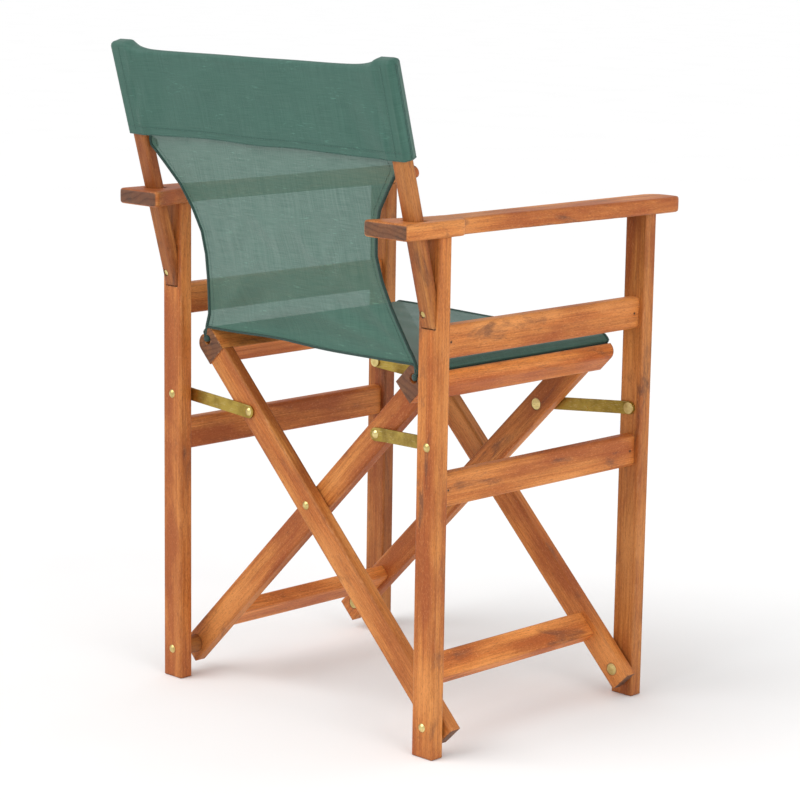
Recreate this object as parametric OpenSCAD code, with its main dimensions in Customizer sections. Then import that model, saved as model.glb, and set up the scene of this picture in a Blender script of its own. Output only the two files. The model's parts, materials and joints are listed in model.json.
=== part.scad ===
// Folding wooden armchair with a fabric sling, drawn open, in millimetres.
// The origin is on the floor under the middle of the seat; the sitter faces -Y and +Z is up.

/* [Overall] */
// Width over the outer faces of the posts
side_w = 490; // [400:1:600]
// Depth over the outer faces of the posts
side_d = 396; // [320:1:480]
// Height of the posts, floor to underside of the armrests
post_h = 630; // [600:1:760]

/* [Side frames] */
// Width of a post, seen from behind
post_w = 34; // [28:1:41]
// Depth of a post, seen from the side
post_d = 20; // [16:1:24]
// Thickness of a side rail
rail_t = 18.5; // [15:0.5:22.5]
// Height of the upper side rail
upper_rail_h = 40; // [33:1:48]
// Height of the lower side rail
lower_rail_h = 41; // [34:1:50]
// Height of the middle of the upper side rail
upper_rail_z = 504; // [480:1:540]
// Height of the middle of the lower side rail
lower_rail_z = 326.5; // [260:0.5:340]
// Radius on the long edges of the side rails
rail_round = 5; // [3:0.5:6]

/* [Armrests] */
// Thickness of an armrest
arm_t = 20; // [16:1:24]
// Overhang outside the posts at the rear block
arm_over = 9; // [5:0.5:12]
// Overhang inside the posts
arm_in = 3; // [1:0.5:6]
// Reach behind the rear posts
arm_back = 65; // [54:1:78]
// Reach in front of the front posts
arm_front = 37; // [31:1:44]
// Length of the thick block at the rear end
arm_block = 98; // [82:1:118]
// Depth of the step in front of the block
arm_step = 8; // [5:0.5:9]
// Swell of the outer edge near the front
arm_swell = 11; // [6:0.5:13]
// Radius of the outer front corner
arm_corner = 14; // [12:1:17]
// How far the rear end widens inwards
arm_horn = 26; // [20:1:30]

/* [Crossed frames] */
// Height of the bottom pivots
pivot_z = 38; // [32:1:46]
// Height of the crossing pivots
cross_z = 268; // [224:1:290]
// Length of a bar from the crossing to its seat rail
bar_upper = 236; // [210:1:244]
// Length of a bar beyond the bottom pivot
bar_tail = 21; // [18:1:25]
// Width of a bar
bar_w = 34; // [28:1:41]
// Thickness of a bar
bar_t = 18; // [15:1:22]
// Room between a post and the bar beside it
post_gap = 3; // [2.6:0.1:4]
// Room between two crossing bars
bar_gap = 1; // [0.8:0.1:1.5]
// Width of a stretcher, along the bars
stretcher_w = 35; // [29:1:42]
// Thickness of a stretcher
stretcher_t = 20; // [17:1:24]
// Middle of a stretcher, measured from the bottom pivot
stretcher_at = 68.5; // [57:0.5:82]

/* [Seat rails] */
// Depth of a seat rail, along the bars
seat_u = 37; // [32:1:44]
// Half width of a seat rail on its upper side
seat_up = 16; // [14:0.5:19]
// Half width of a seat rail on its lower side
seat_down = 17.5; // [15:0.5:21]
// Diameter of the bore for the hem rod
key_d = 12.5; // [10.5:0.5:15]
// Width of the slot that lets the fabric out
key_slot = 6; // [5:0.5:7]
// Diameter of a hem rod
rod_d = 8; // [7:0.5:9]
// Room between a seat rail's end and the posts
seat_end = 2; // [1.5:0.5:4]

/* [Folding links] */
// Height of a link's pin in the post
link_z = 380.5; // [372:0.5:384]
// Distance of a link's other pin from the crossing, along the bar
link_reach = 147; // [123:1:176]
// Width of a link
link_w = 16.5; // [14:0.5:19]
// Thickness of a link
link_t = 2; // [1.5:0.1:2.2]
// Length of a link's flat from a pin to the bend
link_flat = 11; // [9:1:14]

/* [Back stiles] */
// Width of a back stile
stile_w = 22; // [18:1:26]
// Depth of a back stile
stile_d = 16; // [14:1:19]
// Angle by which the back stiles lean back
stile_lean = 15.2; // [13:0.1:18]
// How far a stile reaches below the armrest's underside
stile_drop = 107; // [89:1:128]
// Length of a stile
stile_l = 322; // [270:1:385]
// How far a stile's lower end stands out behind the post
stile_proud = 2.2; // [1.8:0.1:3]
// Diameter of the peg on a stile's front face
peg_d = 15; // [12:0.5:18]
// How far the peg stands out
peg_h = 8; // [6:0.5:10]
// Height of the peg over the stile's lower end, along the stile
peg_at = 186; // [160:1:200]

/* [Fabric] */
// Thickness of the sling
cloth_t = 1.6; // [1.2:0.1:2]
// Height of the hood on the stiles, along them
hood_h = 114; // [95:1:120]
// How far the hood reaches past a stile on each side
hood_over = 6; // [5:0.5:9]
// How far the back panel's edge draws in at the waist, from a stile's middle
waist_in = 74; // [50:1:98]

/* [Fasteners] */
// Diameter of the pivot pins
pin_d = 6; // [5:0.5:7]
// Diameter of a domed pin head
dome_d = 11; // [9:0.5:13]
// Height of a domed pin head
dome_h = 2.5; // [2:0.1:3]
// Diameter of a flat pin head
head_d = 15; // [12.5:0.5:17]
// Thickness of a flat pin head
head_t = 1.8; // [1.5:0.1:2.2]
// Diameter of the spacers at the left bottom pivots
spacer_d = 24; // [20:1:28]

/* [Fits] */
// Room around a pin in its bore
pin_fit = 0.15; // [0.1:0.05:0.3]
// Room around a tenon, a rod or a recessed head
loose_fit = 0.3; // [0.2:0.05:0.5]
// Radius on the edges of posts, bars and armrests
ease = 3; // [2:0.5:3.5]
// Depth of a tenon
tenon_l = 9; // [7:0.5:11]

/* [Hidden] */
$fn = 32;
pivot_x = side_w / 2 - post_w / 2;
post_y = side_d / 2 - post_d;             // inner face of the rear posts
outer_y = post_y - post_gap - bar_t / 2;  // middle of the outer frame's rear bar
inner_y = outer_y - bar_t - bar_gap;      // middle of the inner frame's rear bar
bar_angle = atan2(cross_z - pivot_z, pivot_x);
bar_lower = norm([pivot_x, cross_z - pivot_z]);
bar_l = bar_lower + bar_upper;
seat_half = post_y - seat_end;            // half length of the seat rails
shoulder = 4;                             // from a tenon's cheek to the face beside it
edge_shoulder = 7;                        // from a tenon to the edges of its post or bar
rail_shoulder = 8;                        // from a tenon to the edges of its side rail
stretcher_shoulder = 6;                   // from a tenon to the edges of its stretcher
stretcher_v = -2;                         // middle of a stretcher, below the bars' middle
key_u = seat_u - 11;                      // middle of the keyhole, from the rail's base
key_v = 0.5;
// the fabric pulls the rod outwards, until it sits in the mouth of the slot
rod_shift = sqrt(pow(key_d / 2, 2) - pow(key_slot / 2, 2))
    - sqrt(pow(rod_d / 2 + loose_fit, 2) - pow(key_slot / 2, 2));
seat_low_r = 12;                          // rounding of the seat rail's outer corners
seat_up_r = 7;
link_bar = bar_lower + link_reach;        // a link's bar pin, from the bottom pivot
link_pin_x = pivot_x - link_bar * cos(bar_angle);
link_pin_z = pivot_z + link_bar * sin(bar_angle);
link_dx = pivot_x + link_pin_x;
link_dz = link_pin_z - link_z;
link_l = norm([link_dx, link_dz]);
link_tilt = atan2(link_dz, link_dx);
link_y = post_y - 0.25 - link_t / 2;      // middle of a link beside the post
joggle = bar_t + bar_gap + post_gap - link_t - 0.5;
rail_tenon_w = rail_t - 2 * shoulder;
stile_z = post_h - stile_drop;
stile_lean_t = stile_d / cos(stile_lean);
stile_y = side_d / 2 + stile_proud - stile_lean_t / 2;
recess_h = head_t + 0.5;
screw_at = 18;                            // along the stile, from its lower end
screw_d = 4.5;
screw_head = 7.5;
screw_l = 22;
screw_x = 4.5;                            // from a stile's middle, towards the chair's left
peg_in = 10;                              // depth of the peg's shank in the stile
nail_d = 2.5;
nail_in = 9;                              // a nail's distance from the rail's end
wood = [0.75, 0.45, 0.24];
dark_wood = [0.45, 0.27, 0.16];
brass = [0.8, 0.68, 0.38];
cloth = [0.31, 0.46, 0.41];
far = 2000;

// ---- helpers ----

module rounded(a, b, r) {
    square([a - 2 * r, b], center = true);
    square([a, b - 2 * r], center = true);
    for (x = [-1, 1], y = [-1, 1])
        translate([x * (a / 2 - r), y * (b / 2 - r)]) circle(r);
}

// A stick along X with eased edges: thickness along Y, width along Z.
// start and end tell whether that end is eased, or cut square to meet another piece.
module stick(l, t, w, r = ease, start = true, end = true) {
    a = start ? 0 : -2 * r;
    b = end ? l : l + 2 * r;
    intersection() {
        rotate([90, 0, 90]) linear_extrude(l) rounded(t, w, r);
        translate([(a + b) / 2, 0, 0]) rotate([90, 0, 0])
            linear_extrude(t, center = true) rounded(b - a, w, r);
        translate([(a + b) / 2, 0, 0]) linear_extrude(w, center = true) rounded(b - a, t, r);
    }
}

module block(x, y, z) {
    cube([x, y, z], center = true);
}

// A bore or a pin's shank along Y, between two planes
module along_y(d, y0, y1) {
    translate([0, min(y0, y1), 0]) rotate([-90, 0, 0]) cylinder(d = d, h = abs(y1 - y0));
}

// A domed head that stands on the plane y, towards +Y
module dome(y) {
    radius = (dome_d * dome_d / 4 + dome_h * dome_h) / (2 * dome_h);
    translate([0, y, 0]) rotate([-90, 0, 0]) intersection() {
        translate([0, 0, dome_h - radius]) sphere(radius, $fn = 48);
        cylinder(d = dome_d + 1, h = dome_h + 1);
    }
}

// A rivet along Y: domed head outside on y_out, flat head let into the plane y_in
module rivet(y_out, y_in) {
    dome(y_out);
    along_y(pin_d, y_out, y_in + recess_h - head_t);
    along_y(head_d, y_in + recess_h - head_t - loose_fit, y_in + recess_h - loose_fit);
}

module pin_bore() {
    along_y(pin_d + 2 * pin_fit, -far / 4, far / 4);
}

module left() {
    mirror([1, 0, 0]) children();
}

module front() {
    mirror([0, 1, 0]) children();
}

module both_ends() {
    children();
    front() children();
}

// ---- side frames, drawn for the right side at -X ----

module at_post() {
    translate([-pivot_x, 0, 0]) children();
}

module stile_frame() {
    translate([-pivot_x, stile_y, stile_z]) rotate([-stile_lean, 0, 0]) children();
}

module stile_solid(extra) {
    stile_frame() translate([0, 0, stile_l / 2 - extra])
        block(stile_w + 2 * extra, stile_d + 2 * extra, stile_l + 2 * extra);
}

module rail_tenons(z, h) {
    for (y = [-1, 1])
        translate([-pivot_x, y * (post_y + tenon_l / 2), z])
            block(rail_tenon_w, tenon_l, h - 2 * rail_shoulder);
}

module rail_mortises(z, h) {
    for (y = [-1, 1])
        translate([-pivot_x, y * (post_y + tenon_l / 2), z])
            block(rail_tenon_w + loose_fit, tenon_l + loose_fit,
                  h - 2 * rail_shoulder + loose_fit);
}

module post_tenon(fit) {
    translate([-pivot_x, side_d / 2 - post_d / 2, post_h + tenon_l / 2])
        block(post_w - 2 * edge_shoulder + fit, post_d - 2 * shoulder + fit, tenon_l + fit);
}

module post_blank() {
    translate([-pivot_x, side_d / 2 - post_d / 2, 0]) rotate([0, -90, 0])
        stick(post_h, post_d, post_w, end = false);
    post_tenon(0);
}

module post_cuts() {
    rail_mortises(upper_rail_z, upper_rail_h);
    rail_mortises(lower_rail_z, lower_rail_h);
    at_post() translate([0, 0, pivot_z]) pin_bore();
    at_post() translate([0, 0, link_z]) pin_bore();
}

// x is the screw's distance from the middle
module rear_post(x) {
    color(wood) difference() {
        post_blank();
        post_cuts();
        stile_solid(loose_fit / 2);
        stile_screw_bore(x);
    }
}

module front_post() {
    color(wood) front() difference() {
        post_blank();
        post_cuts();
    }
}

module side_rail(z, h) {
    color(wood) difference() {
        union() {
            translate([-pivot_x, -post_y, z]) rotate([0, 0, 90])
                stick(2 * post_y, rail_t, h, rail_round, start = false, end = false);
            rail_tenons(z, h);
        }
        both_ends() nail(z, nail_d + 2 * pin_fit);
    }
}

// A nail near the end of a side rail, driven from outside
module nail(z, d) {
    translate([-pivot_x - rail_t / 2, post_y - nail_in, z]) rotate([0, 90, 0])
        cylinder(d = d, h = rail_t - 4);
}

module rail_nails() {
    color(dark_wood) both_ends() {
        nail(upper_rail_z, nail_d);
        nail(lower_rail_z, nail_d);
    }
}

// Points of an arc around (x, y), from angle a0 to a1
function arc(x, y, r, a0, a1, n = 8) =
    [for (i = [0 : n]) let (a = a0 + (a1 - a0) * i / n) [x + r * cos(a), y + r * sin(a)]];

// The outer edge's smooth run from the step (0) to the swell near the front (1)
function swell(k) = (1 - cos(180 * k)) / 2;

arm_out = -side_w / 2 - arm_over;
arm_inner = -pivot_x + post_w / 2 + arm_in;
arm_rear = side_d / 2 + arm_back;
arm_nose = -side_d / 2 - arm_front;
step_y = arm_rear - arm_block;
swell_y0 = step_y - arm_step - 40;
swell_y1 = arm_nose + arm_corner;
swell_x0 = arm_out + arm_step;
swell_x1 = swell_x0 - arm_swell;
inner_corner = 24;
horn_corner = 5;
horn_y0 = step_y - 20;                    // where the inner edge starts to widen
horn_y1 = arm_rear - horn_corner;
arm_outline = concat(
    arc(arm_out + ease, arm_rear - ease, ease, 90, 180),
    arc(arm_out + 2, step_y + 2, 2, 180, 250, 4),
    arc(arm_out, step_y - arm_step, arm_step, 80, 0),
    [for (i = [0 : 12]) [swell_x0 + (swell_x1 - swell_x0) * swell(i / 12),
                         swell_y0 + (swell_y1 - swell_y0) * i / 12]],
    arc(swell_x1 + arm_corner, swell_y1, arm_corner, 187, 270, 10),
    arc(arm_inner - inner_corner, arm_nose + inner_corner, inner_corner, 270, 360, 6),
    [for (i = [0 : 10]) [arm_inner + arm_horn * pow(i / 10, 1.6), horn_y0 + (horn_y1 - horn_y0) * i / 10]],
    arc(arm_inner + arm_horn - horn_corner, horn_y1, horn_corner, 0, 90, 4)
);

module armrest() {
    color(wood) difference() {
        translate([0, 0, post_h]) intersection() {
            linear_extrude(arm_t) polygon(arm_outline);
            // eased ends, seen from the side
            translate([0, (arm_rear + arm_nose) / 2, arm_t / 2]) rotate([90, 0, 90])
                linear_extrude(far, center = true) rounded(arm_rear - arm_nose, arm_t, ease);
        }
        both_ends() post_tenon(loose_fit);
        stile_mortise();
    }
}

// The sloped mortise, a little longer than the stile is deep
module stile_mortise() {
    stile_frame() translate([0, -1.5, stile_l / 2])
        block(stile_w + 2 * loose_fit, stile_d + 3 + loose_fit, stile_l);
}

module stile_screw_bore(x) {
    stile_frame() translate([x, stile_d / 2, screw_at]) rotate([90, 0, 0])
        cylinder(d = screw_d + 2 * pin_fit, h = screw_l + 0.5);
}

module back_stile(x) {
    color(wood) difference() {
        stile_frame() rotate([0, -90, 0]) stick(stile_l, stile_d, stile_w, 4);
        stile_screw_bore(x);
        stile_frame() translate([x, stile_d / 2 + 1, screw_at]) rotate([90, 0, 0])
            cylinder(d = screw_head + 1, h = 4);
        stile_frame() translate([0, -stile_d / 2 - 1, peg_at]) rotate([-90, 0, 0])
            cylinder(d = peg_d / 2 + 2 * pin_fit, h = 1 + peg_in + loose_fit);
    }
}

// A round peg on the stile's front face, its shank glued in
module stile_peg() {
    color(wood) stile_frame() translate([0, -stile_d / 2, peg_at]) rotate([90, 0, 0]) {
        cylinder(d = peg_d, h = peg_h - 1);
        translate([0, 0, peg_h - 1]) cylinder(d1 = peg_d, d2 = peg_d - 2, h = 1);
        translate([0, 0, -peg_in]) cylinder(d = peg_d / 2, h = peg_in + 1);
    }
}

module stile_screw(x) {
    color(brass) stile_frame() translate([x, stile_d / 2 - 2.7, screw_at]) rotate([90, 0, 0]) {
        translate([0, 0, -1.3]) cylinder(d = screw_head, h = 1.3);
        cylinder(d = screw_d, h = screw_l - 4);
    }
}

// Right side: the pins of the outer frame's bars and of the joggled links
module right_rivets() {
    color(brass) both_ends() {
        at_post() translate([0, 0, pivot_z]) rivet(side_d / 2, outer_y - bar_t / 2);
        link_post_rivet();
    }
}

module link_post_rivet() {
    at_post() translate([0, 0, link_z]) {
        dome(side_d / 2);
        along_y(pin_d, side_d / 2, link_y - link_t / 2 - loose_fit);
        along_y(head_d, link_y - link_t / 2 - loose_fit, link_y - link_t / 2 - loose_fit - head_t);
    }
}

// Left side, drawn at -X: the pins of the inner frame's bars reach further in
module left_rivets() {
    color(brass) left() both_ends() {
        at_post() translate([0, 0, pivot_z]) rivet(side_d / 2, inner_y - bar_t / 2);
        link_post_rivet();
    }
}

module left_spacers() {
    color(dark_wood) left() both_ends() at_post() translate([0, 0, pivot_z]) difference() {
        along_y(spacer_d, inner_y + bar_t / 2 + loose_fit, post_y - loose_fit);
        pin_bore();
    }
}

// ---- crossed frames: X along the bar from the bottom pivot, Z across it, upper side up ----

module bar_frame() {
    translate([-pivot_x, 0, pivot_z]) rotate([0, -bar_angle, 0]) children();
}

module bar_tenon(y, fit) {
    translate([bar_l + tenon_l / 2, y, 0])
        block(tenon_l + fit, bar_t - 2 * shoulder + fit, bar_w - 2 * edge_shoulder + fit);
}

module stretcher_tenon(y, fit) {
    translate([stretcher_at, y, stretcher_v])
        block(stretcher_w - 2 * stretcher_shoulder + fit, 2 * tenon_l + fit,
              stretcher_t - 2 * shoulder + fit);
}

// A rear bar in its frame: y is its middle
module bar(y) {
    difference() {
        union() {
            translate([-bar_tail, y, 0]) stick(bar_l + bar_tail, bar_t, bar_w, end = false);
            bar_tenon(y, 0);
        }
        pin_bore();
        translate([bar_lower, 0, 0]) pin_bore();
        translate([link_bar, 0, 0]) pin_bore();
        head_recess(y);
        translate([link_bar, 0, 0]) head_recess(y);
        stretcher_tenon(y - bar_t / 2, loose_fit);
    }
}

module head_recess(y) {
    along_y(head_d + 2 * loose_fit, y - bar_t / 2 - 1, y - bar_t / 2 + recess_h);
}

module outer_bar() {
    color(wood) bar_frame() bar(outer_y);
}

module inner_bar() {
    color(wood) left() bar_frame() difference() {
        bar(inner_y);
        translate([bar_lower, 0, 0]) head_recess(inner_y);
    }
}

// What rounding takes off a corner at (u, v)
module corner(u, v, r) {
    translate([u - r, v - r]) difference() {
        square(r + 0.01);
        circle(r);
    }
}

module seat_section() {
    difference() {
        translate([0, -seat_down]) square([seat_u, seat_down + seat_up]);
        corner(seat_u, seat_up, seat_up_r);
        mirror([0, 1]) corner(seat_u, seat_down, seat_low_r);
        translate([key_u, key_v]) circle(d = key_d);
        translate([key_u, key_v - key_slot / 2]) square([seat_u, key_slot]);
    }
}

module seat_rail(bar_y) {
    color(wood) bar_frame() difference() {
        translate([bar_l, 0, 0]) rotate([90, 0, 0])
            linear_extrude(2 * seat_half, center = true) seat_section();
        both_ends() bar_tenon(bar_y, loose_fit);
    }
}

module hem_rod() {
    color(dark_wood) bar_frame() translate([bar_l + key_u + rod_shift, 0, key_v])
        along_y(rod_d, -seat_half + 1, seat_half - 1);
}

module stretcher(y) {
    reach = y - bar_t / 2;
    color(wood) bar_frame() {
        translate([stretcher_at, -reach, stretcher_v]) rotate([0, 0, 90])
            stick(2 * reach, stretcher_w, stretcher_t, start = false, end = false);
        for (side = [-1, 1])
            translate([stretcher_at, side * (reach + tenon_l / 2), stretcher_v])
                block(stretcher_w - 2 * stretcher_shoulder, tenon_l, stretcher_t - 2 * shoulder);
    }
}

module crossing_rivet() {
    color(brass) bar_frame() translate([bar_lower, 0, 0]) rivet(outer_y + bar_t / 2, inner_y - bar_t / 2);
}

// The half of the opened link pivot that stays in the bar
module link_bar_rivet(y) {
    color(brass) bar_frame() translate([link_bar, 0, 0]) {
        along_y(pin_d, y + bar_t / 2 - 0.3, y - bar_t / 2 + recess_h - head_t);
        along_y(head_d, y - bar_t / 2 + recess_h - head_t - loose_fit,
                y - bar_t / 2 + recess_h - loose_fit);
    }
}

// ---- folding links, drawn for the right rear corner: X from the post pin to the bar pin ----

module link_frame() {
    translate([-pivot_x, 0, link_z]) rotate([0, -link_tilt, 0]) children();
}

module link_shape() {
    difference() {
        rotate([90, 0, 0]) linear_extrude(far, center = true) {
            circle(d = link_w);
            translate([0, -link_w / 2]) square([link_l, link_w]);
            translate([link_l, 0]) circle(d = link_w);
        }
        pin_bore();
        translate([link_l, 0, 0]) pin_bore();
    }
}

module straight_link() {
    color(brass) link_frame() intersection() {
        link_shape();
        translate([link_l / 2, link_y, 0]) block(link_l + far / 4, link_t, far / 4);
    }
}

// A band of thickness link_t that runs aslant, towards the middle of the chair by the joggle
module joggled_link() {
    bend = link_l - link_flat;
    run = bend - link_flat;
    slope = atan2(joggle, run);
    k = link_t * tan(slope / 2) / 2;
    y0 = link_y + link_t / 2;
    y1 = link_y - link_t / 2;
    color(brass) link_frame() intersection() {
        link_shape();
        linear_extrude(far / 4, center = true) polygon([
            [-link_w, y0], [bend - run + k, y0], [bend + k, y0 - joggle], [link_l + link_w, y0 - joggle],
            [link_l + link_w, y1 - joggle], [bend - k, y1 - joggle], [bend - run - k, y1], [-link_w, y1]
        ]);
    }
}

// The half of the opened link pivot that stays in the link: y is the link's outer face
module link_tip_rivet(y) {
    color(brass) link_frame() translate([link_l, 0, 0]) {
        dome(y);
        along_y(pin_d, y, y - link_t);
    }
}

// ---- sling ----

cloth_gap = 0.4;
hood_w = 2 * pivot_x + stile_w + 2 * hood_over;
waist_w = 2 * (pivot_x - waist_in);
rail_tip_x = pivot_x - (bar_l + seat_u - seat_up_r) * cos(bar_angle) + (seat_up - seat_up_r) * sin(bar_angle);
rail_top_z = pivot_z + (bar_l + seat_u - seat_up_r) * sin(bar_angle)
    + (seat_up - seat_up_r) * cos(bar_angle) + seat_up_r;
seat_z = rail_top_z + cloth_gap;
hood_room = 1;
hood_d = stile_d + 2 * hood_room + 2 * cloth_t;
hood_from = stile_l - hood_h + hood_room + cloth_t;
panel_top_z = stile_z + hood_from * cos(stile_lean);
panel_top_y = stile_y + hood_from * sin(stile_lean);
panel_low_z = seat_z + cloth_t + cloth_gap;
panel_low_y = seat_half - 4;
panel_lean = atan2(panel_top_y - panel_low_y, panel_top_z - panel_low_z);
panel_h = norm([panel_top_y - panel_low_y, panel_top_z - panel_low_z]) - cloth_gap;
panel_top_w = 2 * pivot_x - stile_w - 2 * cloth_gap;
panel_low_w = -2 * rail_tip_x;
waist_at = 0.47;    // height of the waist, as a share of the panel's height
waist_power = 1.7;  // how quickly the panel widens over its waist

// Half width of the back panel at the share k of its height
function panel_half(k) =
    k < waist_at
    ? waist_w / 2 + (panel_low_w - waist_w) / 2 * pow(1 - k / waist_at, 2)
    : waist_w / 2 + (panel_top_w - waist_w) / 2 * pow((k - waist_at) / (1 - waist_at), waist_power);

module seat_sling() {
    color(cloth) translate([0, 0, seat_z + cloth_t / 2])
        block(-2 * rail_tip_x, 2 * seat_half - 6, cloth_t);
}

module back_panel() {
    steps = 12;
    color(cloth) translate([0, panel_low_y, panel_low_z]) rotate([90 - panel_lean, 0, 0])
        linear_extrude(cloth_t, center = true) polygon(concat(
            [for (i = [0 : steps]) [panel_half(i / steps), panel_h * i / steps]],
            [for (i = [steps : -1 : 0]) [-panel_half(i / steps), panel_h * i / steps]]));
}

module back_hood() {
    color(cloth) translate([0, stile_y, stile_z]) rotate([-stile_lean, 0, 0])
        translate([0, 0, hood_from + hood_h / 2]) difference() {
            block(hood_w, hood_d, hood_h);
            translate([0, 0, -cloth_t])
                block(hood_w - 2 * cloth_t, hood_d - 2 * cloth_t, hood_h);
        }
}

// ---- nodes ----

rear_post(screw_x);  // right_rear_post
front_post();  // right_front_post
armrest();  // right_armrest
side_rail(upper_rail_z, upper_rail_h);  // right_upper_rail
side_rail(lower_rail_z, lower_rail_h);  // right_lower_rail
back_stile(screw_x);  // right_back_stile
stile_peg();  // right_stile_peg
stile_screw(screw_x);  // right_stile_screw
right_rivets();  // right_pivot_rivets
rail_nails();  // right_rail_nails
left() rear_post(-screw_x);  // left_rear_post
left() front_post();  // left_front_post
left() armrest();  // left_armrest
left() side_rail(upper_rail_z, upper_rail_h);  // left_upper_rail
left() side_rail(lower_rail_z, lower_rail_h);  // left_lower_rail
left() back_stile(-screw_x);  // left_back_stile
left() stile_peg();  // left_stile_peg
left() stile_screw(-screw_x);  // left_stile_screw
left_rivets();  // left_pivot_rivets
left() rail_nails();  // left_rail_nails
left_spacers();
outer_bar();  // outer_rear_bar
front() outer_bar();  // outer_front_bar
seat_rail(outer_y);  // left_seat_rail
stretcher(outer_y);  // outer_stretcher
both_ends() crossing_rivet();  // crossing_rivets
both_ends() link_bar_rivet(outer_y);  // outer_link_rivets
inner_bar();  // inner_rear_bar
front() inner_bar();  // inner_front_bar
left() seat_rail(inner_y);  // right_seat_rail
left() stretcher(inner_y);  // inner_stretcher
left() both_ends() link_bar_rivet(inner_y);  // inner_link_rivets
joggled_link();  // right_rear_link
front() joggled_link();  // right_front_link
left() straight_link();  // left_rear_link
left() front() straight_link();  // left_front_link
link_tip_rivet(link_y + link_t / 2 - joggle);  // right_rear_link_rivet
front() link_tip_rivet(link_y + link_t / 2 - joggle);  // right_front_link_rivet
left() link_tip_rivet(link_y + link_t / 2);  // left_rear_link_rivet
left() front() link_tip_rivet(link_y + link_t / 2);  // left_front_link_rivet
hem_rod();  // left_hem_rod
left() hem_rod();  // right_hem_rod
seat_sling();
back_panel();
back_hood();
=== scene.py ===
"""Looks of the folding armchair: camera, studio, wood, metal and the fabric sling round its frame."""
import json
import math
import random

import bpy
import numpy as np
from mathutils import Matrix, Vector


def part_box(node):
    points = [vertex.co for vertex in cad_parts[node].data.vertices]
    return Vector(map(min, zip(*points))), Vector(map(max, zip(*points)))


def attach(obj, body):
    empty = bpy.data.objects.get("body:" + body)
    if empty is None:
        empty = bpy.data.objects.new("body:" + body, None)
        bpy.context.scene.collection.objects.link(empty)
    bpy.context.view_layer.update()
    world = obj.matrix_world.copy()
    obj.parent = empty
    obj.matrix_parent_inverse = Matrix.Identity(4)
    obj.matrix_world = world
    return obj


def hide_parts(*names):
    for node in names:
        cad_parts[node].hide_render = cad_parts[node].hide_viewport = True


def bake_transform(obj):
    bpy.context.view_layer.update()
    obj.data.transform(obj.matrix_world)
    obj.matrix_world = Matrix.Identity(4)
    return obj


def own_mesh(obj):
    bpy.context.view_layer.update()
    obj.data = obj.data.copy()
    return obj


MM = 0.001

# ---- camera, fitted to the photo ----

CAM_AZ, CAM_EL, CAM_ROLL = math.radians(224.144), math.radians(10.772), math.radians(0.883)
CAM_TARGET = Vector((8.6, 0.0, 378.8)) * MM
CAM_DISTANCE = 3.2753
CAM_LENS = 114.218
CAM_SENSOR = 36.0


def make_camera():
    level = math.cos(CAM_EL)
    back = Vector((math.sin(CAM_AZ) * level, -math.cos(CAM_AZ) * level, math.sin(CAM_EL)))
    right = Vector((math.cos(CAM_AZ), math.sin(CAM_AZ), 0))
    up = back.cross(right)
    c, s = math.cos(CAM_ROLL), math.sin(CAM_ROLL)
    axes = Matrix((c * right + s * up, c * up - s * right, back)).transposed()
    data = bpy.data.cameras.new("camera")
    data.sensor_width = CAM_SENSOR
    data.lens = CAM_LENS
    data.clip_end = 50
    cam = bpy.data.objects.new("camera", data)
    cam.matrix_world = Matrix.Translation(CAM_TARGET + back * CAM_DISTANCE) @ axes.to_4x4()
    bpy.context.scene.collection.objects.link(cam)
    bpy.context.scene.camera = cam


make_camera()
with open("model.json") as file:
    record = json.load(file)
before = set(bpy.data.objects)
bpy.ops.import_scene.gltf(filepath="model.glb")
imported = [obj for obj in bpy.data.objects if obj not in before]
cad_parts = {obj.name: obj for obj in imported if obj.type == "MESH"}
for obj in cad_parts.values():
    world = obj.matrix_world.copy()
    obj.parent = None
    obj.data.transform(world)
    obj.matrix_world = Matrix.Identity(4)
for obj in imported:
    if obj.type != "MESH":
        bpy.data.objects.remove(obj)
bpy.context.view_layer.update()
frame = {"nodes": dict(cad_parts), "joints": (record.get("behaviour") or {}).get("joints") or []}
nodes = frame["nodes"]
joints = {j["name"]: j for j in frame["joints"]}
bpy.context.scene.view_settings.view_transform = "Standard"

# ---- node helpers ----


def linear(rgb):
    """0-255 screen values to linear light."""
    return tuple((v / 255 / 12.92) if v < 11 else ((v / 255 + 0.055) / 1.055) ** 2.4 for v in rgb)


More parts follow.
